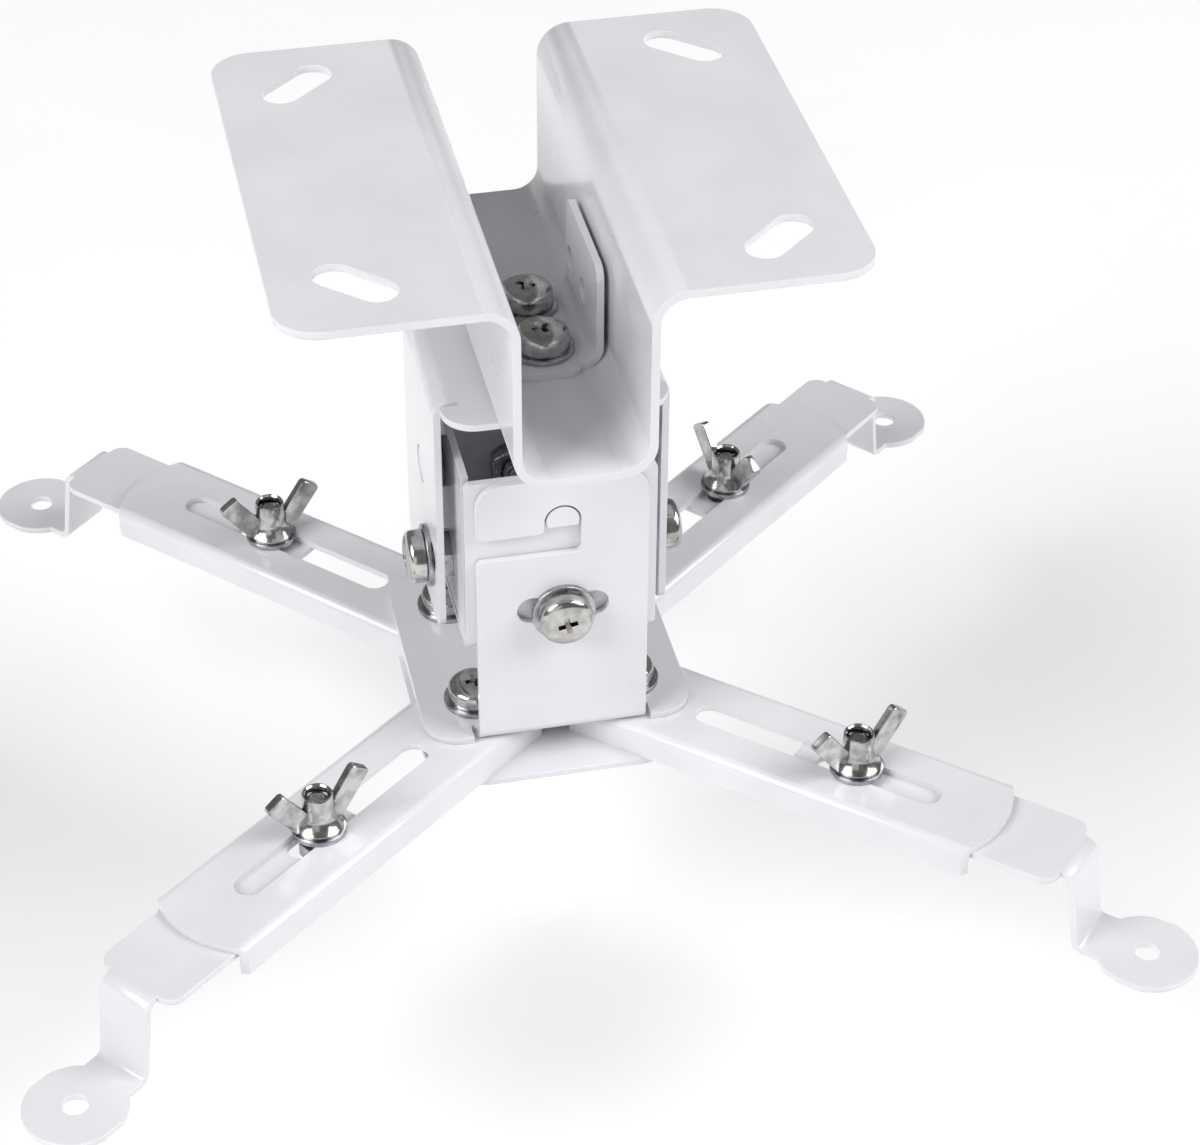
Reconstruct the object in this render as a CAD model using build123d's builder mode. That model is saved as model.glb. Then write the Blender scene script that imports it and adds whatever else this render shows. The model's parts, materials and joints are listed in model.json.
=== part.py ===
"""Ceiling mount for a projector: folded sheet brackets, a two-way tilt head and four sliding arms.

Millimetres, +Z up. The origin lies in the ceiling face, on the upright line through the middle of
the tilt head. The front looks towards -Y. The mount is modelled level, with its arms splayed.
"""
from build123d import *
from math import cos, radians, sin
import os

os.makedirs("parts", exist_ok=True)

# Heights, measured down from the ceiling face
hanger_drop = 43.0        # underside of the ceiling channel
pitch_axis_drop = 71.5
roll_axis_drop = 68.9
foot_drop = 150.0         # underside of the feet

# Sheets
hanger_sheet = 1.8
sheet = 1.6
sheet_bend = 1.2          # inside radius of a tight fold
face_gap = 0.1            # between two sheets that slide on each other
seam_gap = 1.2            # open corner seam of the tilt box
relief_slot = 1.2         # width of a cut at the end of a fold

# Ceiling bracket
hanger_span = 120.0       # over both flanges
hanger_length = 113.6     # front to back
hanger_shift = 3.3        # its middle lies this far behind the tilt head's
channel_width = 26.0      # clear width between the channel walls
hanger_bend = 5.6         # inside radius of its four folds
flange_corner = 9.0
ceiling_slot_length = 19.0
ceiling_slot_width = 8.5
ceiling_slot_angle = 43.0
ceiling_slot_inset = 17.4     # from the side edge to the slot's middle
ceiling_slot_end = 16.1       # from the end edge to the slot's middle

# Clamp bracket on the channel floor
clamp_side_gap = 1.1      # to each channel wall
clamp_length = 36.0
clamp_wall_length = 31.2
clamp_height = 24.0
clamp_bend = 4.6          # outside radius, which clears the channel's own fold
clamp_corner = 3.0
clamp_hole = 5.5
clamp_hole_places = (-1.8, 11.4)
clamp_hole_rise = 10.6    # above the channel floor

# Yoke
yoke_side_gap = 2.9       # between a leg and the tilt box
yoke_web_length = 57.6
yoke_lobe_inset = 1.2     # of the web's flat lobes from the legs' outer faces
yoke_web_corner = 7.0
yoke_leg_width = 39.2
yoke_leg_drop = 102.6     # below the ceiling face
yoke_bend = 2.4           # inside radius
yoke_foot_corner = 3.0

# Tilt box
box_width = 41.8          # over its side walls
box_top_drop = 58.0
box_bottom_drop = 103.2
box_corner = 1.5

# Base bracket
base_width = 60.6
base_length = 61.0        # over its front and back walls
base_corner = 8.0
base_bottom_drop = 127.1
base_wall_inset = 2.1     # of its walls from the tilt box's sides
base_wall_corner = 6.0
hook_radius = 4.0
hook_entry_height = 5.7
hook_entry_low = 8.7      # from the roll axis down to the floor of the entry
hook_round = 1.4

# Arms and lower plate
arm_pivot_spread = 35.0   # between the pivot screws, both ways
arm_angles = {
    "front_left": 220.0,
    "front_right": 318.0,
    "back_left": 134.1,
    "back_right": 40.9,
}
arm_width = 26.2
arm_depth = 7.0
arm_bend = 0.6            # inside radius
arm_inner_end = 7.6       # behind its pivot
arm_outer_end = 89.2      # at the corners
arm_end_bulge = 4.0       # of the curved outer end
arm_slot_start = 18.0
arm_slot_end = 78.0
lower_plate_width = 61.0
lower_plate_length = 71.0
lower_plate_corner = 14.0

# Feet
foot_side_gap = 0.2       # to the arm's folds
foot_inner_end = 43.0     # from the arm's pivot
foot_shoulder = 109.2
foot_shoulder_round = 3.5
foot_neck_width = 13.0
foot_neck_lean = 2.8      # outward run of the upright part
foot_hole_place = 128.5
foot_pad_diameter = 22.0
foot_hole = 5.5
foot_slot_place = 55.0    # short slot for the foot bolt
foot_slot_length = 13.0
foot_bend = 1.5
foot_bolt_places = {
    "front_left": 52.6,
    "front_right": 57.8,
    "back_left": 52.2,
    "back_right": 53.8,
}

# Fasteners
thread = 6.0
thread_clearance = 0.6    # a clearance hole or slot is wider by this
thread_fit = 0.1          # a threaded bore is drawn wider by this
pan_head = 12.0
pan_head_height = 4.4
pan_head_side = 2.0       # upright part of the head, below its dome
washer_diameter = 14.0
washer_thickness = 1.2
nut_across_flats = 10.0
nut_height = 5.0
foot_thread = 5.0
foot_washer_diameter = 12.0
bolt_head_height = 3.5
bolt_head_across_flats = 8.0
hanger_screw_spread = 17.2
hanger_screw_length = 14.0
lock_screw_length = 12.0
arm_screw_length = 18.0
foot_bolt_length = 12.1

# Pitch and roll locks
pitch_lock_radius = 20.5
pitch_lock_angle = 24.0   # forward of straight down
pitch_range = 15.0
roll_lock_radius = 24.0
roll_range = 15.0
lock_slot_spare = 1.5     # degrees left at each end of a lock slot

# Pitch rivets and roll studs
rivet_shoulder = 8.4
rivet_running_gap = 0.06
rivet_collar = 12.0
rivet_shank = 6.0
rivet_tail = 9.0
rivet_tail_height = 1.4
stud_running_gap = 0.05
stud_flat = 1.6           # below the roll axis, so the stud passes the hook's entry
stud_proud = 0.3          # its end stands out of the hook wall
stud_edge = 0.3
stud_shank = 5.2

# Wing nuts
wing_span = 27.0
wing_collar = 10.6
wing_collar_rim = 0.8     # upright part of the collar, below its cone
wing_collar_height = 2.8
wing_tube = 6.8
wing_nut_height = 9.0
wing_width = 5.4
wing_sheet = 1.8
wing_foot_rise = 1.2      # of a wing's lower face where it leaves the tube
wing_rise = 10.6
wing_groove_width = 1.2
wing_groove_depth = 0.5
wing_turns = {
    "front_left": 24.0,
    "front_right": 29.0,
    "back_left": 15.0,
    "back_right": -68.0,
}

# Places that follow from these
hanger_floor_top = -hanger_drop + hanger_sheet
yoke_web_under = -hanger_drop - sheet
base_top = -base_bottom_drop + sheet
arm_top = -base_bottom_drop
arm_bottom = arm_top - arm_depth
lower_plate_under = arm_bottom - sheet
foot_top = arm_top - sheet
foot_under = foot_top - sheet
pad_top = -foot_drop + sheet
box_length = base_length - 2 * sheet - 2 * face_gap
clearance_hole = thread + thread_clearance
yoke_width = box_width + 2 * (yoke_side_gap + sheet)
base_wall_width = box_width - 2 * base_wall_inset
pitch_lock_y = -pitch_lock_radius * sin(radians(pitch_lock_angle))
pitch_lock_z = -pitch_axis_drop - pitch_lock_radius * cos(radians(pitch_lock_angle))
roll_lock_z = -roll_axis_drop - roll_lock_radius


def arc_slot(radius, middle_angle, half_angle, width):
    """Curved slot about the origin; the angle counts from the sketch's own x axis."""
    with BuildSketch(mode=Mode.PRIVATE) as slot:
        SlotArc(
            CenterArc((0, 0), radius, middle_angle - half_angle, 2 * half_angle),
            height=width,
        )
    return slot.sketch


def save(part, label):
    """Label a finished piece and write it under its name."""
    part.label = label
    export_step(part, f"parts/{label}.step")


# Ceiling bracket: a hat section with two flanges and an open channel
channel_half = channel_width / 2
with BuildPart() as ceiling_bracket:
    with BuildSketch(Plane.XZ.offset(-hanger_shift)):
        with BuildLine():
            FilletPolyline(
                (-hanger_span / 2, 0),
                (-channel_half, 0),
                (-channel_half, hanger_floor_top),
                (0, hanger_floor_top),
                radius=(hanger_bend + hanger_sheet, hanger_bend),
            )
            offset(amount=hanger_sheet, side=Side.RIGHT)
        make_face()
        mirror(about=Plane.YZ)
    extrude(amount=hanger_length / 2, both=True)
    upright_edges = ceiling_bracket.edges().filter_by(Axis.Z).group_by(Axis.X)
    fillet(upright_edges[0] + upright_edges[-1], radius=flange_corner)
    with BuildSketch(Plane.XY):
        for side in (-1, 1):
            for end in (-1, 1):
                place = Location(
                    (
                        side * (hanger_span / 2 - ceiling_slot_inset),
                        hanger_shift + end * (hanger_length / 2 - ceiling_slot_end),
                    ),
                    -side * end * ceiling_slot_angle,
                )
                with Locations(place):
                    SlotOverall(ceiling_slot_length, ceiling_slot_width)
    extrude(amount=-hanger_sheet, mode=Mode.SUBTRACT)
    with Locations((0, -hanger_screw_spread / 2), (0, hanger_screw_spread / 2)):
        Hole(clearance_hole / 2)
save(ceiling_bracket.part, "ceiling_bracket")


# Clamp bracket: a small channel whose floor is screwed down inside the ceiling channel
clamp_half = channel_half - clamp_side_gap
with BuildPart() as clamp_bracket:
    with BuildSketch(Plane.XZ):
        with BuildLine():
            FilletPolyline(
                (-clamp_half, hanger_floor_top + clamp_height),
                (-clamp_half, hanger_floor_top),
                (clamp_half, hanger_floor_top),
                (clamp_half, hanger_floor_top + clamp_height),
                radius=clamp_bend,
            )
            offset(amount=sheet, side=Side.LEFT)
        make_face()
    extrude(amount=clamp_wall_length / 2, both=True)
    top_corners = clamp_bracket.edges().filter_by(Axis.X).group_by(Axis.Z)[-1]
    fillet(top_corners, radius=clamp_corner)
    with BuildSketch(Plane.XY.offset(hanger_floor_top)):
        RectangleRounded(2 * (clamp_half - clamp_bend), clamp_length, clamp_corner)
    extrude(amount=sheet)
    with BuildSketch(Plane.YZ):
        with Locations(*[(y, hanger_floor_top + clamp_hole_rise) for y in clamp_hole_places]):
            Circle(clamp_hole / 2)
    extrude(amount=clamp_half, both=True, mode=Mode.SUBTRACT)
    with BuildSketch(Plane.XY.offset(hanger_floor_top)):
        with Locations((0, -hanger_screw_spread / 2), (0, hanger_screw_spread / 2)):
            Circle(clearance_hole / 2)
    extrude(amount=sheet, mode=Mode.SUBTRACT)
save(clamp_bracket.part, "clamp_bracket")


# Yoke: a web under the channel and two legs folded down from it
yoke_half = yoke_width / 2
with BuildPart() as yoke:
    with BuildSketch(Plane.XZ):
        with BuildLine():
            FilletPolyline(
                (-yoke_half, -yoke_leg_drop),
                (-yoke_half, -hanger_drop),
                (yoke_half, -hanger_drop),
                (yoke_half, -yoke_leg_drop),
                radius=yoke_bend + sheet,
            )
            offset(amount=sheet, side=Side.RIGHT)
        make_face()
    extrude(amount=yoke_leg_width / 2, both=True)
    foot_corners = yoke.edges().filter_by(Axis.X).group_by(Axis.Z)[0]
    fillet(foot_corners, radius=yoke_foot_corner)
    with BuildSketch(Plane.XY.offset(yoke_web_under)):
        RectangleRounded(yoke_width - 2 * yoke_lobe_inset, yoke_web_length, yoke_web_corner)
        relief_x = yoke_half
        relief_y = yoke_leg_width / 2 + relief_slot / 2
        with GridLocations(2 * relief_x, 2 * relief_y, 2, 2):
            SlotOverall(2 * (yoke_bend + 2 * sheet), relief_slot, mode=Mode.SUBTRACT)
        Rectangle(yoke_width, yoke_leg_width, mode=Mode.SUBTRACT)
        Rectangle(yoke_width - 2 * (yoke_bend + sheet), yoke_leg_width)
    extrude(amount=sheet)
    with BuildSketch(Plane.YZ):
        with Locations((0, -pitch_axis_drop)):
            Circle(rivet_shoulder / 2 + rivet_running_gap)
            add(
                arc_slot(
                    pitch_lock_radius,
                    270 - pitch_lock_angle,
                    pitch_range + lock_slot_spare,
                    clearance_hole,
                )
            )
    extrude(amount=yoke_half, both=True, mode=Mode.SUBTRACT)
    with BuildSketch(Plane.XY.offset(yoke_web_under)):
        with Locations((0, -hanger_screw_spread / 2), (0, hanger_screw_spread / 2)):
            Circle(clearance_hole / 2)
    extrude(amount=sheet, mode=Mode.SUBTRACT)
save(yoke.part, "yoke")


# Tilt box: an open tray with four folded walls and open corner seams
box_half = box_width / 2
box_end = box_length / 2
box_side_end = box_end - sheet - seam_gap
with BuildPart() as tilt_box:
    with BuildSketch(Plane.YZ):
        with BuildLine():
            FilletPolyline(
                (-box_end, -box_top_drop),
                (-box_end, -box_bottom_drop),
                (box_end, -box_bottom_drop),
                (box_end, -box_top_drop),
                radius=sheet_bend + sheet,
            )
            offset(amount=sheet, side=Side.LEFT)
        make_face()
    extrude(amount=box_half, both=True)
    end_corners = tilt_box.edges().filter_by(Axis.Y).group_by(Axis.Z)[-1]
    fillet(end_corners, radius=box_corner)
    notch = sheet_bend + sheet + relief_slot
    with BuildSketch(Plane.XY.offset(-box_bottom_drop)):
        with GridLocations(box_width, box_length, 2, 2):
            Rectangle(2 * notch, 2 * notch)
        Rectangle(box_width - 2 * (sheet_bend + sheet), 2 * box_side_end, mode=Mode.SUBTRACT)
        Rectangle(2 * box_half, 2 * box_side_end, mode=Mode.SUBTRACT)
    extrude(amount=sheet_bend + sheet, mode=Mode.SUBTRACT)
    with BuildSketch(Plane.XZ):
        with BuildLine():
            FilletPolyline(
                (-box_half, -box_top_drop),
                (-box_half, -box_bottom_drop),
                (box_half, -box_bottom_drop),
                (box_half, -box_top_drop),
                radius=sheet_bend + sheet,
            )
            offset(amount=sheet, side=Side.LEFT)
        make_face()
    extrude(amount=box_side_end, both=True)
    with BuildSketch(Plane.XY.offset(-box_bottom_drop)):
        with GridLocations(box_width, 0, 2, 1):
            Rectangle(2 * (sheet_bend + sheet), box_length)
        Rectangle(box_width, 2 * box_side_end, mode=Mode.SUBTRACT)
    extrude(amount=sheet, mode=Mode.SUBTRACT)
    with BuildSketch(Plane.YZ):
        with Locations((0, -pitch_axis_drop)):
            Circle(rivet_shank / 2)
        with Locations((pitch_lock_y, pitch_lock_z)):
            Circle(thread / 2 + thread_fit)
    extrude(amount=box_half, both=True, mode=Mode.SUBTRACT)
    with BuildSketch(Plane.XZ):
        with Locations((0, -roll_axis_drop)):
            Circle(stud_shank / 2)
        with Locations((0, roll_lock_z)):
            Circle(thread / 2 + thread_fit)
    extrude(amount=box_end, both=True, mode=Mode.SUBTRACT)
save(tilt_box.part, "tilt_box")


# Base bracket: the square plate with a hooked front and back wall
base_end = base_length / 2
wall_half = base_wall_width / 2
with BuildPart() as base_bracket:
    with BuildSketch(Plane.YZ):
        with BuildLine():
            FilletPolyline(
                (-base_end, -box_top_drop),
                (-base_end, -base_bottom_drop),
                (base_end, -base_bottom_drop),
                (base_end, -box_top_drop),
                radius=sheet_bend + sheet,
            )
            offset(amount=sheet, side=Side.LEFT)
        make_face()
    extrude(amount=wall_half, both=True)
    wall_corners = base_bracket.edges().filter_by(Axis.Y).group_by(Axis.Z)[-1]
    fillet(wall_corners, radius=base_wall_corner)
    with BuildSketch(Plane.XY.offset(-base_bottom_drop)):
        RectangleRounded(base_width, base_length, base_corner)
        relief_length = 2 * (sheet_bend + 2 * sheet)
        with GridLocations(base_wall_width + relief_slot, base_length, 2, 2):
            SlotOverall(relief_length, relief_slot, rotation=90, mode=Mode.SUBTRACT)
        Rectangle(base_wall_width, base_length, mode=Mode.SUBTRACT)
        Rectangle(base_wall_width, base_length - 2 * (sheet_bend + sheet))
    extrude(amount=sheet)
    with BuildSketch(Plane.XZ):
        with Locations((0, -roll_axis_drop)):
            Circle(hook_radius)
            entry_middle = hook_entry_height / 2 - hook_entry_low
            with Locations((-wall_half, entry_middle)):
                Rectangle(
                    wall_half + hook_radius,
                    hook_entry_height,
                    align=(Align.MIN, Align.CENTER),
                )
            with Locations((0, -hook_entry_low / 2)):
                Rectangle(2 * hook_radius, hook_entry_low)
            add(
                arc_slot(
                    roll_lock_radius,
                    270,
                    roll_range + lock_slot_spare,
                    clearance_hole,
                )
            )
    extrude(amount=base_end, both=True, mode=Mode.SUBTRACT)
    entry_floor = -roll_axis_drop - hook_entry_low
    hook_edges = (
        base_bracket.edges()
        .filter_by(Axis.Y)
        .filter_by_position(
            Axis.Z, entry_floor - hook_round, entry_floor + hook_entry_height + hook_round
        )
    )
    fillet(hook_edges, radius=hook_round)
    with BuildSketch(Plane.XY.offset(-base_bottom_drop)):
        with GridLocations(arm_pivot_spread, arm_pivot_spread, 2, 2):
            Circle(clearance_hole / 2)
    extrude(amount=sheet, mode=Mode.SUBTRACT)
save(base_bracket.part, "base_bracket")


# Lower plate: holds the arms up against the base bracket
with BuildPart() as lower_plate:
    with BuildSketch(Plane.XY.offset(lower_plate_under)):
        RectangleRounded(lower_plate_width, lower_plate_length, lower_plate_corner)
        with GridLocations(arm_pivot_spread, arm_pivot_spread, 2, 2):
            Circle(clearance_hole / 2, mode=Mode.SUBTRACT)
    extrude(amount=sheet)
save(lower_plate.part, "lower_plate")


def arm_frame(corner):
    """Level plane on an arm's pivot, x outward along the arm."""
    x = arm_pivot_spread / 2 * (1 if "right" in corner else -1)
    y = arm_pivot_spread / 2 * (1 if "back" in corner else -1)
    angle = radians(arm_angles[corner])
    return Plane(origin=(x, y, 0), x_dir=(cos(angle), sin(angle), 0), z_dir=(0, 0, 1))


# Arm, drawn along +X from its pivot: a channel open below, with a long slot and a curved end
arm_half = arm_width / 2
arm_tip = arm_outer_end + arm_end_bulge
with BuildPart() as arm:
    with BuildSketch(Plane.YZ.offset(-arm_inner_end)):
        with BuildLine():
            FilletPolyline(
                (-arm_half, arm_bottom),
                (-arm_half, arm_top),
                (arm_half, arm_top),
                (arm_half, arm_bottom),
                radius=arm_bend + sheet,
            )
            offset(amount=sheet, side=Side.RIGHT)
        make_face()
    extrude(amount=arm_inner_end + arm_tip)
    with BuildSketch(Plane.XY.offset(arm_bottom)):
        with BuildLine():
            ThreePointArc(
                (arm_outer_end, arm_half), (arm_tip, 0), (arm_outer_end, -arm_half)
            )
            Polyline(
                (arm_outer_end, -arm_half),
                (-arm_inner_end, -arm_half),
                (-arm_inner_end, arm_half),
                (arm_outer_end, arm_half),
            )
        make_face()
    extrude(amount=arm_depth, mode=Mode.INTERSECT)
    with BuildSketch(Plane.XY.offset(foot_top)):
        Circle(clearance_hole / 2)
        with Locations(((arm_slot_start + arm_slot_end) / 2, 0)):
            SlotOverall(arm_slot_end - arm_slot_start, clearance_hole)
    extrude(amount=sheet, mode=Mode.SUBTRACT)

for corner in arm_angles:
    with BuildPart() as placed_arm:
        with Locations(arm_frame(corner)):
            add(arm.part)
    save(placed_arm.part, f"arm_{corner}")


# Foot, drawn along +X from its arm's pivot: a flat slider, an upright neck and a round pad
foot_half = arm_half - sheet - arm_bend - foot_side_gap
pad_place = foot_hole_place
neck_top = foot_shoulder + foot_bend + sheet
neck_bottom = neck_top + foot_neck_lean
with BuildPart() as foot:
    with BuildSketch(Plane.XZ):
        with BuildLine():
            FilletPolyline(
                (foot_inner_end, foot_top),
                (neck_top, foot_top),
                (neck_bottom, pad_top),
                (pad_place + foot_pad_diameter / 2, pad_top),
                radius=(foot_bend + sheet, foot_bend),
            )
            offset(amount=sheet, side=Side.RIGHT)
        make_face()
    extrude(amount=foot_half, both=True)
    with BuildSketch(Plane.XY.offset(-foot_drop)):
        with Locations((foot_inner_end, 0)):
            Rectangle(
                foot_shoulder - foot_inner_end,
                2 * foot_half,
                align=(Align.MIN, Align.CENTER),
            )
        shoulder_corners = vertices().group_by(Axis.X)[-1]
        fillet(shoulder_corners, radius=foot_shoulder_round)
        inner_corners = vertices().group_by(Axis.X)[0]
        fillet(inner_corners, radius=foot_shoulder_round)
        with Locations((foot_shoulder - foot_shoulder_round, 0)):
            Rectangle(
                pad_place - foot_shoulder + foot_shoulder_round,
                foot_neck_width,
                align=(Align.MIN, Align.CENTER),
            )
        with Locations((pad_place, 0)):
            Circle(foot_pad_diameter / 2)
            Circle(foot_hole / 2, mode=Mode.SUBTRACT)
        with Locations((foot_slot_place, 0)):
            SlotOverall(foot_slot_length, foot_thread + thread_clearance, mode=Mode.SUBTRACT)
    extrude(amount=foot_drop, mode=Mode.INTERSECT)

for corner in arm_angles:
    with BuildPart() as placed_foot:
        with Locations(arm_frame(corner)):
            add(foot.part)
    save(placed_foot.part, f"foot_{corner}")


def pan_screw(length):
    """Pan-head screw with its axis on Z and the underside of its head at z = 0."""
    with BuildPart() as screw:
        with BuildSketch(Plane.XZ):
            with BuildLine():
                Line((0, -length), (thread / 2, -length))
                Line((thread / 2, -length), (thread / 2, 0))
                Line((thread / 2, 0), (pan_head / 2, 0))
                Line((pan_head / 2, 0), (pan_head / 2, pan_head_side))
                TangentArc(
                    (0, pan_head_height), (pan_head / 2, pan_head_side), tangent=(1, 0)
                )
                Line((0, pan_head_height), (0, -length))
            make_face()
        revolve(axis=Axis.Z)
        tip = screw.edges().filter_by(GeomType.CIRCLE).group_by(Axis.Z)[0]
        chamfer(tip, length=0.1 * thread)
    return screw.part


def plain_washer(diameter=washer_diameter, bore=clearance_hole):
    """Flat washer lying on z = 0."""
    with BuildPart() as washer:
        with BuildSketch():
            Circle(diameter / 2)
            Circle(bore / 2, mode=Mode.SUBTRACT)
        extrude(amount=washer_thickness)
    return washer.part


def hex_nut(height):
    """Hexagon nut hanging below z = 0."""
    with BuildPart() as nut:
        with BuildSketch():
            RegularPolygon(nut_across_flats / 2, 6, major_radius=False)
            Circle(thread / 2 + thread_fit, mode=Mode.SUBTRACT)
        extrude(amount=-height)
    return nut.part


def group(piece, places):
    """The same piece at each place, as separate solids."""
    with BuildPart() as pieces:
        with Locations(*places):
            add(piece)
    return pieces.part


# Hanger screws, washers and nuts: clamp bracket, channel and yoke in one stack
hanger_places = [(0, -hanger_screw_spread / 2), (0, hanger_screw_spread / 2)]
hanger_seat = hanger_floor_top + sheet
hanger_screws = pan_screw(hanger_screw_length)
hanger_seats = [Location((x, y, hanger_seat)) for x, y in hanger_places]
hanger_heads = [Location((x, y, hanger_seat + washer_thickness)) for x, y in hanger_places]
hanger_unders = [Location((x, y, yoke_web_under)) for x, y in hanger_places]
save(group(plain_washer(), hanger_seats), "hanger_washers")
save(group(hanger_screws, hanger_heads), "hanger_screws")
save(group(hex_nut(nut_height), hanger_unders), "hanger_nuts")


# Pitch rivets: turned pins that carry the tilt box between the yoke's legs
with BuildPart() as pitch_rivet:
    with BuildSketch(Plane.XZ):
        with BuildLine():
            Polyline(
                (0, 0),
                (rivet_shoulder / 2, 0),
                (rivet_shoulder / 2, -sheet),
                (rivet_collar / 2, -sheet),
                (rivet_collar / 2, -sheet - yoke_side_gap),
                (rivet_shank / 2, -sheet - yoke_side_gap),
                (rivet_shank / 2, -2 * sheet - yoke_side_gap),
                (rivet_tail / 2, -2 * sheet - yoke_side_gap),
                (rivet_tail / 2, -2 * sheet - yoke_side_gap - rivet_tail_height),
                (0, -2 * sheet - yoke_side_gap - rivet_tail_height),
                close=True,
            )
        make_face()
    revolve(axis=Axis.Z)
for side, name in ((-1, "left"), (1, "right")):
    outward = Plane(origin=(side * yoke_half, 0, -pitch_axis_drop), z_dir=(side, 0, 0))
    with BuildPart() as placed_rivet:
        with Locations(outward):
            add(pitch_rivet.part)
    save(placed_rivet.part, f"pitch_rivet_{name}")


# Pitch locks: a screw and washer outside each leg and a collared nut set in the box wall
with BuildPart() as collar_nut:
    with BuildSketch():
        RegularPolygon(nut_across_flats / 2, 6, major_radius=False)
    extrude(amount=-yoke_side_gap)
    with BuildSketch(Plane.XY.offset(-yoke_side_gap)):
        Circle(thread / 2 + thread_fit)
    extrude(amount=yoke_side_gap, mode=Mode.SUBTRACT)
for side, name in ((-1, "left"), (1, "right")):
    outward = Plane(origin=(side * yoke_half, pitch_lock_y, pitch_lock_z), z_dir=(side, 0, 0))
    save(group(plain_washer(), [outward]), f"pitch_lock_washer_{name}")
    head_place = outward.offset(washer_thickness)
    save(group(pan_screw(lock_screw_length), [head_place]), f"pitch_lock_screw_{name}")
    save(group(collar_nut.part, [outward.offset(-sheet)]), f"pitch_lock_nut_{name}")


# Roll studs: pins with one flat, riveted to the tilt box, that the base bracket's hooks hang on
stud_radius = hook_radius - stud_running_gap
with BuildPart() as roll_stud:
    with BuildSketch(Plane.XZ):
        with BuildLine():
            Polyline(
                (0, stud_proud),
                (stud_radius - stud_edge, stud_proud),
                (stud_radius, stud_proud - stud_edge),
                (stud_radius, -sheet - face_gap),
                (stud_shank / 2, -sheet - face_gap),
                (stud_shank / 2, -2 * sheet - face_gap),
                (rivet_tail / 2, -2 * sheet - face_gap),
                (rivet_tail / 2, -2 * sheet - face_gap - rivet_tail_height),
                (0, -2 * sheet - face_gap - rivet_tail_height),
                close=True,
            )
        make_face()
    revolve(axis=Axis.Z)
    with BuildSketch(Plane.XY.offset(-sheet - face_gap)):
        with Locations((0, -stud_flat)):
            Rectangle(2 * hook_radius, hook_radius, align=(Align.CENTER, Align.MAX))
    extrude(amount=sheet + face_gap + stud_proud, mode=Mode.SUBTRACT)
for end, name in ((-1, "front"), (1, "back")):
    stud_place = Plane(
        origin=(0, end * base_end, -roll_axis_drop), x_dir=(-end, 0, 0), z_dir=(0, end, 0)
    )
    lock_place = Plane(origin=(0, end * base_end, roll_lock_z), z_dir=(0, end, 0))
    inside = lock_place.offset(-2 * sheet - face_gap)
    save(group(roll_stud.part, [stud_place]), f"roll_stud_{name}")
    save(group(plain_washer(), [lock_place]), f"roll_lock_washer_{name}")
    head_place = lock_place.offset(washer_thickness)
    save(group(pan_screw(lock_screw_length), [head_place]), f"roll_lock_screw_{name}")
    save(group(hex_nut(nut_height), [inside]), f"roll_lock_nut_{name}")


# Arm pivots: four screws through base bracket, arm and lower plate
pivot_places = [(arm_frame(corner).origin.X, arm_frame(corner).origin.Y) for corner in arm_angles]
pivot_seats = [Location((x, y, base_top)) for x, y in pivot_places]
pivot_heads = [Location((x, y, base_top + washer_thickness)) for x, y in pivot_places]
pivot_unders = [Location((x, y, lower_plate_under)) for x, y in pivot_places]
save(group(plain_washer(), pivot_seats), "arm_pivot_washers")
save(group(pan_screw(arm_screw_length), pivot_heads), "arm_pivot_screws")
save(group(hex_nut(nut_height), pivot_unders), "arm_pivot_nuts")


# Foot bolt, on +Z with the underside of its head at z = 0
with BuildPart() as foot_bolt:
    with BuildSketch():
        RegularPolygon(bolt_head_across_flats / 2, 6, major_radius=False)
    extrude(amount=-bolt_head_height)
    with BuildSketch():
        Circle(foot_thread / 2)
    extrude(amount=foot_bolt_length)
    bolt_tip = foot_bolt.edges().filter_by(GeomType.CIRCLE).group_by(Axis.Z)[-1]
    chamfer(bolt_tip, length=0.1 * foot_thread)


# Wing nut, on +Z and standing on z = 0: a tube on a flared collar, with two grooved wings
with BuildPart() as wing_nut:
    with BuildSketch(Plane.XZ):
        Polygon(
            (0, 0),
            (wing_collar / 2, 0),
            (wing_collar / 2, wing_collar_rim),
            (wing_tube / 2, wing_collar_height),
            (wing_tube / 2, wing_nut_height),
            (0, wing_nut_height),
            align=None,
        )
    revolve(axis=Axis.Z)
    for side in (-1, 1):
        root = (side * wing_tube / 4, wing_foot_rise)
        tip = (side * wing_span / 2, wing_rise - wing_sheet)
        with BuildSketch(Plane.XZ):
            with BuildLine():
                wing_line = FilletPolyline(
                    root, (side * wing_tube / 2, wing_foot_rise), tip, radius=2 * wing_sheet
                )
                offset(amount=wing_sheet, side=Side.LEFT if side > 0 else Side.RIGHT)
            make_face()
        extrude(amount=wing_width / 2, both=True)
        with BuildSketch(Plane.XZ):
            with BuildLine():
                add(wing_line)
                offset(amount=wing_groove_depth, side=Side.LEFT if side > 0 else Side.RIGHT)
            make_face()
            with Locations((0, wing_nut_height / 2)):
                Rectangle(wing_tube + 2 * wing_sheet, 2 * wing_nut_height, mode=Mode.SUBTRACT)
        extrude(amount=wing_groove_width / 2, both=True, mode=Mode.SUBTRACT)
    Hole(foot_thread / 2 + thread_fit / 2)


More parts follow.
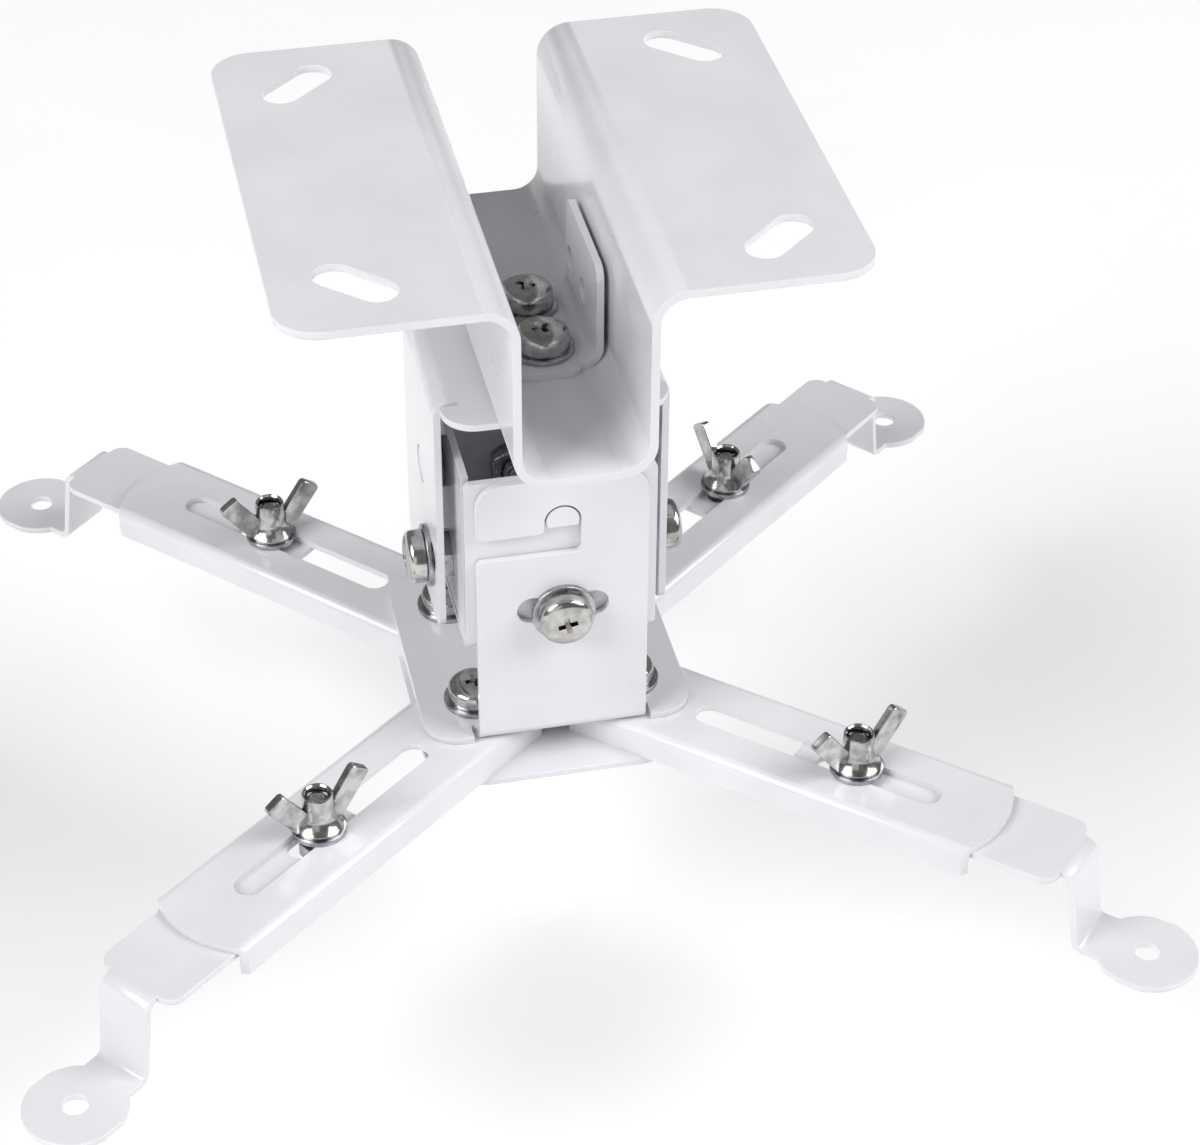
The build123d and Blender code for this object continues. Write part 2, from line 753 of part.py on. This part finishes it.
for corner in arm_angles:
    level = arm_frame(corner)
    bolt_x = level.origin.X + foot_bolt_places[corner] * level.x_dir.X
    bolt_y = level.origin.Y + foot_bolt_places[corner] * level.x_dir.Y
    under = Location((bolt_x, bolt_y, foot_under))
    above = Location((bolt_x, bolt_y, arm_top))
    nut_seat = Location((bolt_x, bolt_y, arm_top + washer_thickness), wing_turns[corner])
    save(group(foot_bolt.part, [under]), f"foot_bolt_{corner}")
    washer = plain_washer(foot_washer_diameter, foot_thread + thread_clearance)
    save(group(washer, [above]), f"foot_washer_{corner}")
    save(group(wing_nut.part, [nut_seat]), f"wing_nut_{corner}")
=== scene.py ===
"""Looks of a white ceiling mount for a projector: powder-coated sheet steel with bright screws.

Metres, in the CAD model's frame: the origin lies in the ceiling face and the front looks towards -Y.
"""
import json
from math import cos, pi, radians, sin, tan, tau

import bmesh
import bpy
from mathutils import Matrix, Vector

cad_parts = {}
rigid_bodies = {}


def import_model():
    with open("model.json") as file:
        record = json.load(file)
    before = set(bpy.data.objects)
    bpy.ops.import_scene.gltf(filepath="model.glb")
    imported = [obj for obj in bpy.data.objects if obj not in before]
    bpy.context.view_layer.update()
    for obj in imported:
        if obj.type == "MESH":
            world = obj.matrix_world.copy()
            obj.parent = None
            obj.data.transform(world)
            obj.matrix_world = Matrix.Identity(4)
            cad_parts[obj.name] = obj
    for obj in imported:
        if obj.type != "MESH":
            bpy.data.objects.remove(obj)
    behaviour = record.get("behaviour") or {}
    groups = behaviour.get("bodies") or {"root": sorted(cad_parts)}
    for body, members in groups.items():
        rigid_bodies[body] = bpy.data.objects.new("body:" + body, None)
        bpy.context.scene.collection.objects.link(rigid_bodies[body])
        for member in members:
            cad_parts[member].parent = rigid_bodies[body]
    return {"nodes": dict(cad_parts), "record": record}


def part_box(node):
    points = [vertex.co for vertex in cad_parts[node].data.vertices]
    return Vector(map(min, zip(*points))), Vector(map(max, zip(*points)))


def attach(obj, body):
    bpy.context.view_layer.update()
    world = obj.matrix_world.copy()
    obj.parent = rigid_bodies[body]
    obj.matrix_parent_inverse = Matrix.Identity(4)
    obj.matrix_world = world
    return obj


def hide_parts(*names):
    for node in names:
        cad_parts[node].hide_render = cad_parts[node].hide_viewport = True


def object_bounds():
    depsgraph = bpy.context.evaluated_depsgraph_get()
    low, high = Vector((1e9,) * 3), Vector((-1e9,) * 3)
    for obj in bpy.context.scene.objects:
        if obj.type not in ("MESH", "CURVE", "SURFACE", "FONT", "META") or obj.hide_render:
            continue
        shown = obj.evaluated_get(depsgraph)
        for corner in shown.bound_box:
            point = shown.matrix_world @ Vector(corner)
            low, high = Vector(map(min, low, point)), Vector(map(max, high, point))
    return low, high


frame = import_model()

cad_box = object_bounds()
nodes = frame["nodes"]
MM = 0.001
CORNERS = ("front_left", "front_right", "back_left", "back_right")


def srgb(code):
    """Linear RGBA of an sRGB hex colour."""
    values = [int(code[i:i + 2], 16) / 255 for i in (1, 3, 5)]
    linear = [v / 12.92 if v <= 0.04045 else ((v + 0.055) / 1.055) ** 2.4 for v in values]
    return (*linear, 1.0)


# Materials


def add_node(tree, kind, inputs=None, **settings):
    """A shader node with its settings; an input is a value, or the socket that feeds it."""
    node = tree.nodes.new(kind)
    for name, value in settings.items():
        setattr(node, name, value)
    for name, value in (inputs or {}).items():
        if isinstance(value, bpy.types.NodeSocket):
            tree.links.new(value, node.inputs[name])
        else:
            node.inputs[name].default_value = value
    return node


def start_material(name):
    """A new material with an empty tree, its object-space position and its output."""
    material = bpy.data.materials.new(name)
    material.use_nodes = True
    tree = material.node_tree
    tree.nodes.clear()
    place = add_node(tree, "ShaderNodeTexCoord").outputs["Object"]
    output = add_node(tree, "ShaderNodeOutputMaterial")
    return material, tree, place, output


# Lengths of the powder's ripple, and of the patches in which its gloss and tint wander
ORANGE_PEEL = 1.6 * MM
GLOSS_CLOUD = 22 * MM


def powder_coated_steel():
    """Gloss white polyester powder on sheet steel: a faint orange peel and slightly uneven gloss."""
    material, tree, place, output = start_material("powder_coated_sheet_steel")
    peel = add_node(
        tree, "ShaderNodeTexNoise", {"Vector": place, "Scale": 1 / ORANGE_PEEL, "Detail": 2.0}
    )
    cloud = add_node(
        tree, "ShaderNodeTexNoise", {"Vector": place, "Scale": 1 / GLOSS_CLOUD, "Detail": 3.0}
    )
    tint = add_node(tree, "ShaderNodeValToRGB", {"Fac": cloud.outputs["Fac"]})
    tint.color_ramp.interpolation = "EASE"
    tint.color_ramp.elements[0].position = 0.2
    tint.color_ramp.elements[0].color = srgb("#D8D7DC")
    tint.color_ramp.elements[1].position = 0.8
    tint.color_ramp.elements[1].color = srgb("#E0DFE3")
    gloss = add_node(
        tree,
        "ShaderNodeMapRange",
        {"Value": cloud.outputs["Fac"], "To Min": 0.24, "To Max": 0.34},
    )
    bump = add_node(
        tree,
        "ShaderNodeBump",
        {"Height": peel.outputs["Fac"], "Strength": 0.12, "Distance": 0.05 * MM},
    )
    shader = add_node(
        tree,
        "ShaderNodeBsdfPrincipled",
        {
            "Base Color": tint.outputs["Color"],
            "Roughness": gloss.outputs["Result"],
            "Normal": bump.outputs["Normal"],
            "IOR": 1.5,
            "Coat Weight": 0.35,
            "Coat Roughness": 0.12,
        },
    )
    tree.links.new(shader.outputs["BSDF"], output.inputs["Surface"])
    return material


# Length over which a plated piece's tint wanders
PLATING_CLOUD = 3.0 * MM


def bright_metal(name, colour, darker, roughness, grain, strength):
    """Plated metal: tint and gloss wander a little over each piece; the grain is a length in mm."""
    material, tree, place, output = start_material(name)
    wander = add_node(
        tree, "ShaderNodeTexNoise", {"Vector": place, "Scale": 1 / PLATING_CLOUD, "Detail": 4.0}
    )
    fine = add_node(
        tree, "ShaderNodeTexNoise", {"Vector": place, "Scale": 1 / (grain * MM), "Detail": 3.0}
    )
    tint = add_node(tree, "ShaderNodeValToRGB", {"Fac": wander.outputs["Fac"]})
    tint.color_ramp.elements[0].position = 0.30
    tint.color_ramp.elements[0].color = srgb(darker)
    tint.color_ramp.elements[1].position = 0.62
    tint.color_ramp.elements[1].color = srgb(colour)
    gloss = add_node(
        tree,
        "ShaderNodeMapRange",
        {"Value": fine.outputs["Fac"], "To Min": 0.7 * roughness, "To Max": 1.35 * roughness},
    )
    bump = add_node(
        tree,
        "ShaderNodeBump",
        {"Height": fine.outputs["Fac"], "Strength": strength, "Distance": 0.03 * MM},
    )
    shader = add_node(
        tree,
        "ShaderNodeBsdfPrincipled",
        {
            "Base Color": tint.outputs["Color"],
            "Metallic": 1.0,
            "Roughness": gloss.outputs["Result"],
            "Normal": bump.outputs["Normal"],
        },
    )
    tree.links.new(shader.outputs["BSDF"], output.inputs["Surface"])
    return material


POWDER = powder_coated_steel()
# The three grains are drawn far coarser than real plating has them, so that they show
# Bright nickel on cold-headed screws: nearly a mirror, with soft wear in the gloss
NICKEL = bright_metal(
    "bright_nickel_on_headed_steel", "#C9C7C4", "#9F9D9A", roughness=0.15, grain=0.8, strength=0.10
)
# Nickel on die-cast wing nuts: the casting's skin shows as a soft ripple
CAST_NICKEL = bright_metal(
    "bright_nickel_on_die_casting", "#C6C4C2", "#8F8D8B", roughness=0.17, grain=1.2, strength=0.20
)
# Blue-white zinc on stamped washers and nuts: duller, with a fine crystalline grain
ZINC = bright_metal(
    "clear_zinc_on_stamped_steel", "#B9BBBE", "#8F9296", roughness=0.28, grain=0.5, strength=0.16
)
SLOT_MATERIALS = {
    "white_paint": POWDER,
    "painted_pins": POWDER,
    "bright_screws": NICKEL,
    "zinc_washers": ZINC,
    "zinc_nuts": ZINC,
    "foot_bolts": ZINC,
    "bright_wing_nuts": CAST_NICKEL,
}

# Sheet pieces

record = frame["record"]
slot_of = {entry["node"]: entry["material_slot"] for entry in record["subparts"]}
body_of = {node: body for body, names in record["behaviour"]["bodies"].items() for node in names}

PAINTED_EDGE = 0.28 * MM
PLATED_EDGE = 0.15 * MM
# The paint leaves a dark line round each pivot pin, drawn wider than the real running gap
PIN_LINE = 0.32 * MM


def dress(name):
    """Gives a CAD piece its material and the soft edges that paint or tumbling leaves."""
    piece = nodes[name]
    slot_name = slot_of[name]
    for entry in piece.material_slots:
        entry.material = SLOT_MATERIALS[slot_name]
    # The CAD's triangles go back to whole faces first, so that only true edges are softened
    weld = piece.modifiers.new("weld", "WELD")
    weld.merge_threshold = 0.002 * MM
    flat = piece.modifiers.new("whole_faces", "DECIMATE")
    flat.decimate_type = "DISSOLVE"
    flat.angle_limit = radians(0.5)
    soften = piece.modifiers.new("soft_edges", "BEVEL")
    soften.width = PAINTED_EDGE if slot_name == "white_paint" else PLATED_EDGE
    soften.segments = 2
    soften.limit_method = "ANGLE"
    soften.angle_limit = radians(38)
    soften.harden_normals = True
    if slot_name == "painted_pins":
        shrink = piece.modifiers.new("running_gap", "DISPLACE")
        shrink.mid_level = 0.0
        shrink.strength = -PIN_LINE


# Fasteners, all in mm and standing on z = 0 until they are put in place

# M6 pan-head screws and their nuts; the side is the upright part of the head below its dome
PAN_HEAD_RADIUS, PAN_HEAD_HEIGHT, PAN_HEAD_SIDE = 6.0, 4.4, 2.0
HANGER_SCREW_LENGTH, LOCK_SCREW_LENGTH, ARM_SCREW_LENGTH = 14.0, 12.0, 18.0
M6_RADIUS, M6_PITCH = 3.0, 1.0
NUT_ACROSS_FLATS, NUT_HEIGHT, NUT_BORE = 10.0, 5.0, 6.1
# M5 hexagon bolts of the feet
FOOT_BOLT_ACROSS_FLATS, FOOT_BOLT_HEAD, FOOT_BOLT_LENGTH = 8.0, 3.5, 12.1
M5_RADIUS, M5_PITCH = 2.5, 0.8
# Faces that meet at less than this angle, in degrees, are shaded as one
SMOOTH_ANGLE = 35


def mesh_object(name, bm, material):
    """A new object from a finished bmesh."""
    bmesh.ops.recalc_face_normals(bm, faces=bm.faces)
    mesh = bpy.data.meshes.new(name)
    for face in bm.faces:
        face.smooth = True
    for edge in bm.edges:
        if len(edge.link_faces) == 2 and edge.calc_face_angle(0.0) > radians(SMOOTH_ANGLE):
            edge.smooth = False
    bm.to_mesh(mesh)
    bm.free()
    mesh.materials.append(material)
    piece = bpy.data.objects.new(name, mesh)
    bpy.context.scene.collection.objects.link(piece)
    return piece


def turned(bm, profile, steps=48):
    """Turns a closed or axis-to-axis profile of (radius, height) pairs in mm about Z."""
    rings = []
    for radius, height in profile:
        turns = [tau * i / steps for i in range(steps)] if radius else [0.0]
        rings.append(
            [bm.verts.new((radius * MM * cos(a), radius * MM * sin(a), height * MM)) for a in turns]
        )
    for low, high in zip(rings, rings[1:]):
        for i in range(steps):
            j = (i + 1) % steps
            if len(low) == 1 and len(high) == 1:
                continue
            if len(low) == 1:
                bm.faces.new((low[0], high[i], high[j]))
            elif len(high) == 1:
                bm.faces.new((low[i], low[j], high[0]))
            else:
                bm.faces.new((low[i], low[j], high[j], high[i]))


def thread(bm, top, bottom, major, pitch, steps=28):
    """A screw thread on Z between two heights, its outer radius major: a helical ridge on a core."""
    minor = major - 0.55 * pitch
    core = minor + 0.02
    # Lengths over which the ridge grows from the point and dies away at the neck
    point_fade, neck_fade = 0.8, 0.4
    point_chamfer = 0.5
    rows = []
    for i in range(int((top - bottom) / pitch * steps) + 1):
        turn = tau * i / steps
        height = bottom + pitch * i / steps
        if height > top:
            break
        fade = min(1.0, (height - bottom) / point_fade, (top - height) / neck_fade)
        crest = minor + (major - minor) * max(0.0, fade)
        row = []
        # Root, both edges of the flat crest, root: each rise is a part of the pitch
        for radius, rise in ((minor, 0.0), (crest, 0.36), (crest, 0.50), (minor, 0.86)):
            z = (height + rise * pitch) * MM
            row.append(bm.verts.new((radius * MM * cos(turn), radius * MM * sin(turn), z)))
        rows.append(row)
    for a, b in zip(rows, rows[1:]):
        for k in range(3):
            bm.faces.new((a[k], b[k], b[k + 1], a[k + 1]))
    point = bottom + point_chamfer
    turned(bm, [(0, bottom), (minor - point_chamfer, bottom), (core, point), (core, top)], 32)


def cross_cutter(name, top, size=4.8, width=1.15, depth=2.2):
    """A cross that tapers towards its floor and cuts the driver recess into a head."""
    above = (top + 1.0, size / 2 + 0.4, width / 2 + 0.12)
    floor = (top - depth, 0.9, width / 2 - 0.15)
    bm = bmesh.new()
    for turn in (0, pi / 2):
        spin = Matrix.Rotation(turn, 3, "Z")
        high, low = [
            [
                bm.verts.new((spin @ Vector((x, y, z))) * MM)
                for x, y in ((-half, -thin), (half, -thin), (half, thin), (-half, thin))
            ]
            for z, half, thin in (above, floor)
        ]
        bm.faces.new(high)
        bm.faces.new(low[::-1])
        for i in range(4):
            j = (i + 1) % 4
            bm.faces.new((low[i], low[j], high[j], high[i]))
    return mesh_object(name, bm, NICKEL)


def baked(piece):
    """The piece's mesh with its modifiers applied."""
    depsgraph = bpy.context.evaluated_depsgraph_get()
    return bpy.data.meshes.new_from_object(piece.evaluated_get(depsgraph))


def mesh_only(name, bm, material):
    """The shaded mesh of a finished bmesh, without an object."""
    piece = mesh_object(name, bm, material)
    mesh = piece.data
    bpy.data.objects.remove(piece)
    return mesh


def pan_screw(length):
    """Mesh of a pan-head M6 screw with a cross recess, its thread hanging below z = 0."""
    head, side, rim = PAN_HEAD_RADIUS, PAN_HEAD_SIDE, 0.25
    rise = PAN_HEAD_HEIGHT - side
    flatness = 0.62
    dome = []
    for k in range(12):
        lean = radians(90 - 7.5 * k)
        dome.append((head * sin(lean) ** flatness, side + rise * cos(lean) ** flatness))
    bm = bmesh.new()
    turned(bm, [(0, 0), (head - rim, 0), (head, rim)] + dome + [(0, PAN_HEAD_HEIGHT)], 64)
    whole = mesh_object("head_blank", bm, NICKEL)
    cutter = cross_cutter("recess_cutter", PAN_HEAD_HEIGHT)
    cut = whole.modifiers.new("recess", "BOOLEAN")
    cut.operation = "DIFFERENCE"
    cut.solver = "EXACT"
    cut.use_self = True
    cut.object = cutter
    bm = bmesh.new()
    bm.from_mesh(baked(whole))
    thread(bm, -0.2, -length, M6_RADIUS, M6_PITCH)
    for spare in (whole, cutter):
        bpy.data.objects.remove(spare)
    return mesh_only("screw_blank", bm, NICKEL)


def hexagon(across, height, bore=0.0):
    """Mesh of a hexagon with its corners turned down to cones, and a countersunk bore if it has one."""
    corner = across / 3 ** 0.5
    bm = bmesh.new()
    low, high = [
        [
            bm.verts.new((corner * MM * cos(tau * i / 6), corner * MM * sin(tau * i / 6), z * MM))
            for i in range(6)
        ]
        for z in (0, height)
    ]
    bm.faces.new(low[::-1])
    bm.faces.new(high)
    for i in range(6):
        bm.faces.new((low[i], low[(i + 1) % 6], high[(i + 1) % 6], high[i]))
    blank = mesh_object("hexagon_blank", bm, ZINC)
    face, drop = 0.475 * across, 0.06 * across
    clear = 0.1
    wide, top = corner + clear, height + clear
    cones = [(0, 0), (face, 0), (wide, drop), (wide, height - drop), (face, height), (0, height)]
    tools = [("INTERSECT", cones)]
    if bore:
        hole, sink = bore / 2, 0.35
        mouth = hole + sink
        drill = [(0, -clear), (mouth, -clear), (hole, sink)]
        drill += [(hole, height - sink), (mouth, top), (0, top)]
        tools.append(("DIFFERENCE", drill))
    for step, (operation, profile) in enumerate(tools):
        bm = bmesh.new()
        turned(bm, profile)
        tool = mesh_object(f"turning_tool_{step}", bm, ZINC)
        cut = blank.modifiers.new(f"turned_{step}", "BOOLEAN")
        cut.operation = operation
        cut.solver = "EXACT"
        cut.object = tool
    mesh = baked(blank)
    for spare in [blank] + [bpy.data.objects[f"turning_tool_{step}"] for step in range(len(tools))]:
        bpy.data.objects.remove(spare)
    return mesh


def foot_bolt():
    """Mesh of the hexagon bolt that comes up through a foot, its thread hanging below z = 0."""
    bm = bmesh.new()
    bm.from_mesh(hexagon(FOOT_BOLT_ACROSS_FLATS, FOOT_BOLT_HEAD))
    thread(bm, -0.1, -FOOT_BOLT_LENGTH, M5_RADIUS, M5_PITCH)
    return mesh_only("bolt_blank", bm, ZINC)


def rounded(corners, steps=6):
    """A closed outline whose corners, given as (x, y, radius), are turned into arcs."""
    outline = []
    for i, (x, y, radius) in enumerate(corners):
        here = Vector((x, y))
        before = (Vector(corners[i - 1][:2]) - here).normalized()
        after = (Vector(corners[(i + 1) % len(corners)][:2]) - here).normalized()
        if not radius:
            outline.append(here)
            continue
        half = before.angle(after) / 2
        centre = here + (before + after).normalized() * radius / sin(half)
        start = here + before * radius / tan(half) - centre
        end = here + after * radius / tan(half) - centre
        for k in range(steps + 1):
            outline.append(centre + start.slerp(end, k / steps))
    return outline


# The wing nut's tube and collar as (radius, height), up the outside and down the bore
WING_NUT_COLLAR = [(2.9, 0), (5.0, 0), (5.3, 0.3), (5.3, 0.8), (4.9, 1.15), (4.0, 2.2), (3.5, 3.2)]
WING_NUT_TUBE = [(3.4, 4.0), (3.4, 8.7), (3.2, 9.0), (2.95, 9.0), (2.6, 8.65), (2.6, 0.3), (2.9, 0)]
# One wing as (distance from the axis, height, corner radius)
WING = [
    (3.0, 0.9, 0), (5.6, 0.9, 0.8), (13.4, 10.2, 1.4),
    (8.4, 13.6, 1.4), (3.4, 5.4, 1.2), (3.0, 5.4, 0),
]
WING_THICKNESS = 2.0


def wing_nut():
    """Mesh of a wing nut: a tube on a flared collar between two upright wings."""
    bm = bmesh.new()
    turned(bm, WING_NUT_COLLAR + WING_NUT_TUBE)
    bmesh.ops.remove_doubles(bm, verts=bm.verts, dist=0.001 * MM)
    wing = rounded(WING)
    for side in (1, -1):
        sheet = bmesh.new()
        faces = []
        for y in (-WING_THICKNESS / 2, WING_THICKNESS / 2):
            face = [sheet.verts.new((side * v.x * MM, y * MM, v.y * MM)) for v in wing]
            faces.append(sheet.faces.new(face))
        near, far = faces[0].verts[:], faces[1].verts[:]
        for i in range(len(near)):
            j = (i + 1) % len(near)
            sheet.faces.new((near[i], near[j], far[j], far[i]))
        bmesh.ops.recalc_face_normals(sheet, faces=sheet.faces)
        rims = [e for e in sheet.edges if any(f in faces for f in e.link_faces)]
        bmesh.ops.bevel(
            sheet, geom=rims, offset=0.35 * MM, segments=3, profile=0.6, affect="EDGES"
        )
        spare = bpy.data.meshes.new("wing")
        sheet.to_mesh(spare)
        sheet.free()
        bm.from_mesh(spare)
    return mesh_only("wing_nut_blank", bm, CAST_NICKEL)


def put(name, mesh, places, replaced):
    """Joins copies of a mesh at 4x4 places into one piece that stands for a CAD node."""
    bm = bmesh.new()
    for place in places:
        start = len(bm.verts)
        bm.from_mesh(mesh)
        bm.verts.ensure_lookup_table()
        bmesh.ops.transform(bm, matrix=place, verts=bm.verts[start:])
    joined = bpy.data.meshes.new(name)
    bm.to_mesh(joined)
    bm.free()
    joined.materials.append(SLOT_MATERIALS[slot_of[replaced]])
    piece = bpy.data.objects.new(name, joined)
    bpy.context.scene.collection.objects.link(piece)
    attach(piece, body_of[replaced])
    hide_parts(replaced)


def facing(point, out, turn=0.0):
    """A place in mm whose z axis points out along the given direction."""
    direction = Vector(out).normalized().to_track_quat("Z", "Y").to_matrix().to_4x4()
    return Matrix.Translation(Vector(point) * MM) @ direction @ Matrix.Rotation(radians(turn), 4, "Z")


def middle(name):
    """Middle of a CAD node's box, in mm."""
    low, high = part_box(name)
    return [(a + b) / 2 / MM for a, b in zip(low, high)]


def reach(name, axis, high=True):
    """One side of a CAD node's box, in mm."""
    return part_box(name)[1 if high else 0][axis] / MM


hanger_y = reach("hanger_screws", 1) - PAN_HEAD_RADIUS
hanger_z = reach("hanger_screws", 2) - PAN_HEAD_HEIGHT
# Each screw's cross points where the last turn of the driver left it
put(
    "hanger_screws_threaded",
    pan_screw(HANGER_SCREW_LENGTH),
    [facing((0, -hanger_y, hanger_z), (0, 0, 1), 20), facing((0, hanger_y, hanger_z), (0, 0, 1), 63)],
    "hanger_screws",
)
lock_mesh = pan_screw(LOCK_SCREW_LENGTH)
for side, name in ((-1, "left"), (1, "right")):
    node = f"pitch_lock_screw_{name}"
    x, y, z = middle(node)
    x = reach(node, 0, side > 0) - side * PAN_HEAD_HEIGHT
    put(f"{node}_threaded", lock_mesh, [facing((x, y, z), (side, 0, 0), 35)], node)
for end, name in ((-1, "front"), (1, "back")):
    node = f"roll_lock_screw_{name}"
    x, y, z = middle(node)
    y = reach(node, 1, end > 0) - end * PAN_HEAD_HEIGHT
    put(f"{node}_threaded", lock_mesh, [facing((x, y, z), (0, end, 0), 12)], node)
pivot_x = reach("arm_pivot_screws", 0) - PAN_HEAD_RADIUS
pivot_y = reach("arm_pivot_screws", 1) - PAN_HEAD_RADIUS
pivot_z = reach("arm_pivot_screws", 2) - PAN_HEAD_HEIGHT
put(
    "arm_pivot_screws_threaded",
    pan_screw(ARM_SCREW_LENGTH),
    [
        facing((sx * pivot_x, sy * pivot_y, pivot_z), (0, 0, 1), 30 * sx + 50 * sy)
        for sx in (-1, 1)
        for sy in (-1, 1)
    ],
    "arm_pivot_screws",
)

nut_mesh = hexagon(NUT_ACROSS_FLATS, NUT_HEIGHT, NUT_BORE)
hanger_nut_z = reach("hanger_nuts", 2, False)
put(
    "hanger_nuts_chamfered",
    nut_mesh,
    [facing((0, side * hanger_y, hanger_nut_z), (0, 0, 1)) for side in (-1, 1)],
    "hanger_nuts",
)
pivot_nut_z = reach("arm_pivot_nuts", 2, False)
put(
    "arm_pivot_nuts_chamfered",
    nut_mesh,
    [
        facing((sx * pivot_x, sy * pivot_y, pivot_nut_z), (0, 0, 1))
        for sx in (-1, 1)
        for sy in (-1, 1)
    ],
    "arm_pivot_nuts",
)
for name in ("front", "back"):
    node = f"roll_lock_nut_{name}"
    x, y, z = middle(node)
    y = reach(node, 1, False)
    put(f"{node}_chamfered", nut_mesh, [facing((x, y, z), (0, 1, 0), 30)], node)

foot_bolt_mesh = foot_bolt()
for corner in CORNERS:
    node = f"foot_bolt_{corner}"
    x, y, z = middle(node)
    seat = reach(node, 2, False) + FOOT_BOLT_HEAD
    put(f"{node}_threaded", foot_bolt_mesh, [facing((x, y, seat), (0, 0, -1))], node)
# Degrees from the x axis to each corner's wings, as in the photograph
WING_TURNS = (23, 20, 15, -67)
wing_nut_mesh = wing_nut()
for corner, turn in zip(CORNERS, WING_TURNS):
    node = f"wing_nut_{corner}"
    x, y, z = middle(f"foot_washer_{corner}")
    seat = reach(f"foot_washer_{corner}", 2)
    put(f"{node}_upright_wings", wing_nut_mesh, [facing((x, y, seat), (0, 0, 1), turn)], node)

# Dressing the CAD pieces

for name in nodes:
    dress(name)

# Floor, light and camera


LIGHT_TARGET = Vector((0, 0, -80)) * MM


def area_light(name, place, size, power):
    """A square white soft box aimed at the middle of the mount."""
    lamp = bpy.data.lights.new(name, "AREA")
    lamp.shape = "SQUARE"
    lamp.size = size
    lamp.energy = power
    holder = bpy.data.objects.new(name, lamp)
    holder.location = place
    holder.rotation_euler = (LIGHT_TARGET - Vector(place)).to_track_quat("-Z", "Y").to_euler()
    bpy.context.scene.collection.objects.link(holder)


# The mount hangs from a ceiling: at its joints' limits an arm dips this far below the feet
ARM_DIP = 62 * MM
FLOOR_HALF = 4
FLOOR_MOTTLE = 60 * MM


def studio_floor():
    """Matt white board below all that the joints can reach, its edges outside the photo's view."""
    material, tree, place, output = start_material("matt_white_board")
    mottle = add_node(
        tree, "ShaderNodeTexNoise", {"Vector": place, "Scale": 1 / FLOOR_MOTTLE, "Detail": 2.0}
    )
    tint = add_node(tree, "ShaderNodeValToRGB", {"Fac": mottle.outputs["Fac"]})
    tint.color_ramp.elements[0].color = srgb("#FBFBFB")
    tint.color_ramp.elements[1].color = srgb("#FFFFFF")
    shader = add_node(
        tree,
        "ShaderNodeBsdfPrincipled",
        {"Base Color": tint.outputs["Color"], "Roughness": 0.9, "Specular IOR Level": 0.1},
    )
    tree.links.new(shader.outputs["BSDF"], output.inputs["Surface"])
    bm = bmesh.new()
    low = cad_box[0][2] - ARM_DIP
    corners = ((-1, -1), (1, -1), (1, 1), (-1, 1))
    bm.faces.new([bm.verts.new((x * FLOOR_HALF, y * FLOOR_HALF, low)) for x, y in corners])
    floor = mesh_object("studio_floor", bm, material)


studio_floor()
world = bpy.data.worlds.new("studio")
bpy.context.scene.world = world
world.use_nodes = True
world.node_tree.nodes["Background"].inputs["Color"].default_value = srgb("#FFFFFF")
world.node_tree.nodes["Background"].inputs["Strength"].default_value = 0.22
area_light("left_softbox", (-2.7, -1.1, 2.3), size=2.3, power=106)
area_light("right_softbox", (2.6, -1.2, 2.2), size=2.3, power=103)
area_light("front_card", (-1.3, -2.5, 0.5), size=2.2, power=9)

# The camera stands where the photograph was taken: fitted to the feet, slots and screws in it
AZIMUTH, ELEVATION, ROLL = radians(-12.636), radians(37.415), radians(0.442)
DISTANCE = 717.46 * MM
PHOTO_WIDTH, FOCAL_LENGTH_IN_PIXELS = 1200, 3137.5
back = Vector((sin(AZIMUTH) * cos(ELEVATION), -cos(AZIMUTH) * cos(ELEVATION), sin(ELEVATION)))
right = Vector((cos(AZIMUTH), sin(AZIMUTH), 0))
up = back.cross(right)
rolled_right = right * cos(ROLL) + up * sin(ROLL)
rolled_up = up * cos(ROLL) - right * sin(ROLL)
aim = Vector((15.673, 3.3, -110.422)) * MM
camera_data = bpy.data.cameras.new("photo_camera")
camera_data.sensor_width = 36
camera_data.lens = camera_data.sensor_width * FOCAL_LENGTH_IN_PIXELS / PHOTO_WIDTH
camera = bpy.data.objects.new("photo_camera", camera_data)
turned_to_mount = Matrix((rolled_right, rolled_up, back)).transposed().to_4x4()
camera.matrix_world = Matrix.Translation(aim + back * DISTANCE) @ turned_to_mount
bpy.context.scene.collection.objects.link(camera)
bpy.context.scene.camera = camera
bpy.context.scene.view_settings.view_transform = "Standard"
